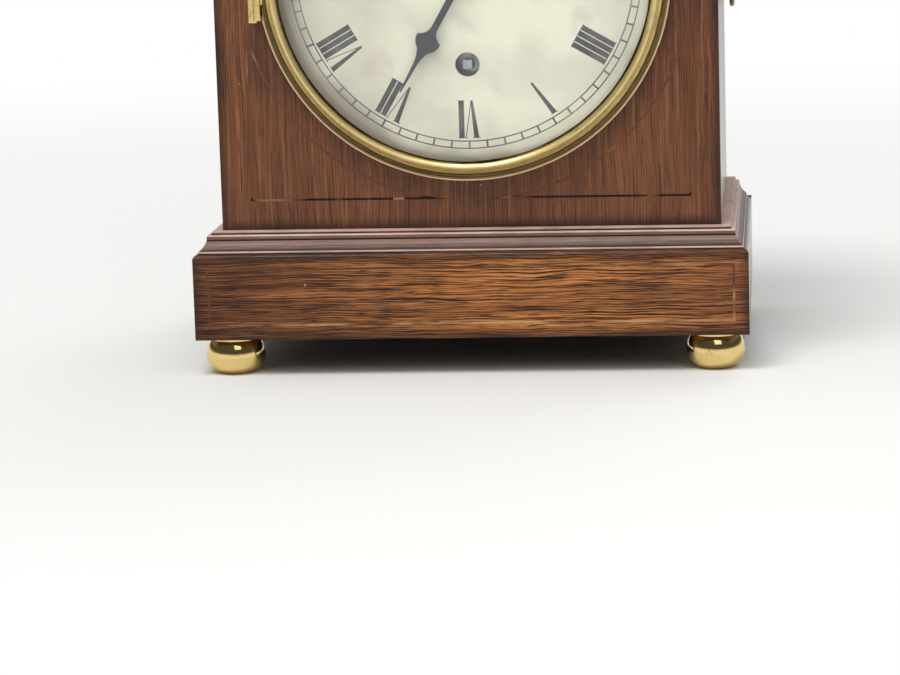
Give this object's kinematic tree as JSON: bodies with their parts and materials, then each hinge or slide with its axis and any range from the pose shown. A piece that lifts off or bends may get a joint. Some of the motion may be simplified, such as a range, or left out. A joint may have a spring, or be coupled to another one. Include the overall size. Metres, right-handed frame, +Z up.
{
  "type": "bracket clock",
  "caption": "Square mahogany bracket clock on a moulded plinth with bun feet, hinged glazed bezel, silvered dial, spade hands, ring handles, rear door and wound lever movement.",
  "frame": {"origin": "middle of the plinth on the surface that the feet stand on", "axes": "+Z up, -Y towards the dial's front, +X to the viewer's right"},
  "size_m": [0.2, 0.138, 0.306],
  "materials": {
    "mahogany": "polished, worn",
    "mahogany_plinth": "polished, worn",
    "inner_wood": "planed, unfinished",
    "boxwood": "inlaid line",
    "brass": "polished",
    "dark_brass": "patinated",
    "movement_brass": "brushed",
    "steel": "polished",
    "blued_steel": "blued",
    "glass": "clear",
    "silvered": "silvered, engraved"
  },
  "bodies": {
    "case": {"plinth_front": "mahogany_plinth", "plinth_sides_back": "mahogany_plinth", "plinth_floor": "inner_wood", "bun_feet": "brass", "plinth_moulding": "mahogany", "plinth_stringing": "boxwood", "front_panel": "mahogany", "front_stringing": "boxwood", "side_panels": "mahogany", "case_top": "inner_wood", "back_rail": "inner_wood", "seat_board": "inner_wood", "seat_bearers": "inner_wood", "cornice": "mahogany", "roof": "mahogany", "roof_pad": "mahogany", "finial": "brass", "handle_plates": "dark_brass", "door_hinge_case_leaves": "dark_brass", "door_hinge_pins": "dark_brass", "door_button_screw": "dark_brass", "bezel_seat": "brass", "bezel_hinge_case_leaf": "brass", "bezel_hinge_pin": "brass", "dial": "silvered", "dial_feet": "movement_brass", "front_plate": "movement_brass", "back_plate": "movement_brass", "movement_pillars": "movement_brass", "pillar_nuts": "steel", "platform": "movement_brass", "train_cock": "movement_brass", "balance_cock": "movement_brass"},
    "bezel_door": {"bezel": "brass", "bezel_glass": "glass", "bezel_glass_ring": "brass", "bezel_hinge_door_leaf": "brass"},
    "left_ring": {"ring_handle_left": "dark_brass"},
    "right_ring": {"ring_handle_right": "dark_brass"},
    "rear_door": {"back_door": "mahogany", "door_hinge_door_leaves": "dark_brass"},
    "turn_button": {"door_button": "dark_brass"},
    "barrel": {"spring_barrel": "movement_brass", "mainspring": "steel"},
    "winding": {"winding_arbor": "steel", "ratchet_wheel": "steel"},
    "pawl": {"click": "steel"},
    "intermediate": {"intermediate_wheel": "movement_brass"},
    "minute": {"centre_wheel": "movement_brass", "cannon_pinion": "steel", "minute_hand": "blued_steel", "hand_nut": "movement_brass"},
    "hour": {"hour_wheel": "movement_brass", "hour_hand": "blued_steel"},
    "motion": {"minute_wheel": "movement_brass"},
    "third": {"third_wheel": "movement_brass"},
    "fourth": {"fourth_wheel": "movement_brass"},
    "escape": {"escape_wheel": "movement_brass"},
    "lever": {"pallet_lever": "steel"},
    "balance": {"balance_wheel": "movement_brass"}
  },
  "joints": [
    {"name": "bezel_hinge", "type": "hinge", "parent": "case", "child": "bezel_door", "pos_m": [-0.074, -0.06195, 0.1436], "axis": [0, 0, -1], "range_deg": [0, 110]},
    {"name": "left_ring_swing", "type": "hinge", "parent": "case", "child": "left_ring", "pos_m": [-0.0943, 0.00315, 0.1586], "axis": [0, 1, 0], "range_deg": [0, 85]},
    {"name": "right_ring_swing", "type": "hinge", "parent": "case", "child": "right_ring", "pos_m": [0.0943, 0.00315, 0.1586], "axis": [0, -1, 0], "range_deg": [0, 85]},
    {"name": "rear_door_hinge", "type": "hinge", "parent": "case", "child": "rear_door", "pos_m": [0.0809, 0.06725, 0.1436], "axis": [0, 0, -1], "range_deg": [0, 110]},
    {"name": "button_turn", "type": "hinge", "parent": "case", "child": "turn_button", "pos_m": [-0.0862, 0.0655, 0.1501], "axis": [0, 1, 0], "range_deg": [0, 90]},
    {"name": "minute_turn", "type": "hinge", "parent": "case", "child": "minute", "pos_m": [0, 0, 0.1436], "axis": [0, 1, 0], "continuous": true},
    {"name": "hour_turn", "type": "hinge", "parent": "case", "child": "hour", "pos_m": [0, 0, 0.1436], "axis": [0, 1, 0], "continuous": true},
    {"name": "motion_turn", "type": "hinge", "parent": "case", "child": "motion", "pos_m": [-0.00849, 0, 0.15209], "axis": [0, 1, 0], "continuous": true},
    {"name": "intermediate_turn", "type": "hinge", "parent": "case", "child": "intermediate", "pos_m": [0.01561, 0, 0.1342], "axis": [0, 1, 0], "continuous": true},
    {"name": "barrel_turn", "type": "hinge", "parent": "case", "child": "barrel", "pos_m": [0, 0, 0.1109], "axis": [0, 1, 0], "continuous": true},
    {"name": "third_turn", "type": "hinge", "parent": "case", "child": "third", "pos_m": [-0.0088, 0, 0.15884], "axis": [0, 1, 0], "continuous": true},
    {"name": "fourth_turn", "type": "hinge", "parent": "case", "child": "fourth", "pos_m": [0, 0, 0.16736], "axis": [0, 1, 0], "continuous": true},
    {"name": "escape_turn", "type": "hinge", "parent": "case", "child": "escape", "pos_m": [0, 0, 0.17726], "axis": [0, 1, 0], "continuous": true},
    {"name": "winding_turn", "type": "hinge", "parent": "case", "child": "winding", "pos_m": [0, 0, 0.1109], "axis": [0, 1, 0], "range_deg": [0, 1440]},
    {"name": "pawl_turn", "type": "hinge", "parent": "case", "child": "pawl", "pos_m": [0.013, 0, 0.1179], "axis": [0, -1, 0], "range_deg": [0, 12]},
    {"name": "lever_turn", "type": "hinge", "parent": "case", "child": "lever", "pos_m": [0.0062, 0, 0.17726], "axis": [0, 1, 0], "range_deg": [-5, 5]},
    {"name": "balance_turn", "type": "hinge", "parent": "case", "child": "balance", "pos_m": [0.0155, 0, 0.17726], "axis": [0, 1, 0], "range_deg": [-220, 220]}
  ],
  "couplings": [
    {"joint": "hour_turn", "follows": "minute_turn", "ratio": 0.083333},
    {"joint": "motion_turn", "follows": "minute_turn", "ratio": -0.33333},
    {"joint": "intermediate_turn", "follows": "minute_turn", "ratio": -0.125},
    {"joint": "barrel_turn", "follows": "minute_turn", "ratio": 0.016667},
    {"joint": "third_turn", "follows": "minute_turn", "ratio": -10},
    {"joint": "fourth_turn", "follows": "minute_turn", "ratio": 60},
    {"joint": "escape_turn", "follows": "minute_turn", "ratio": -600}
  ]
}
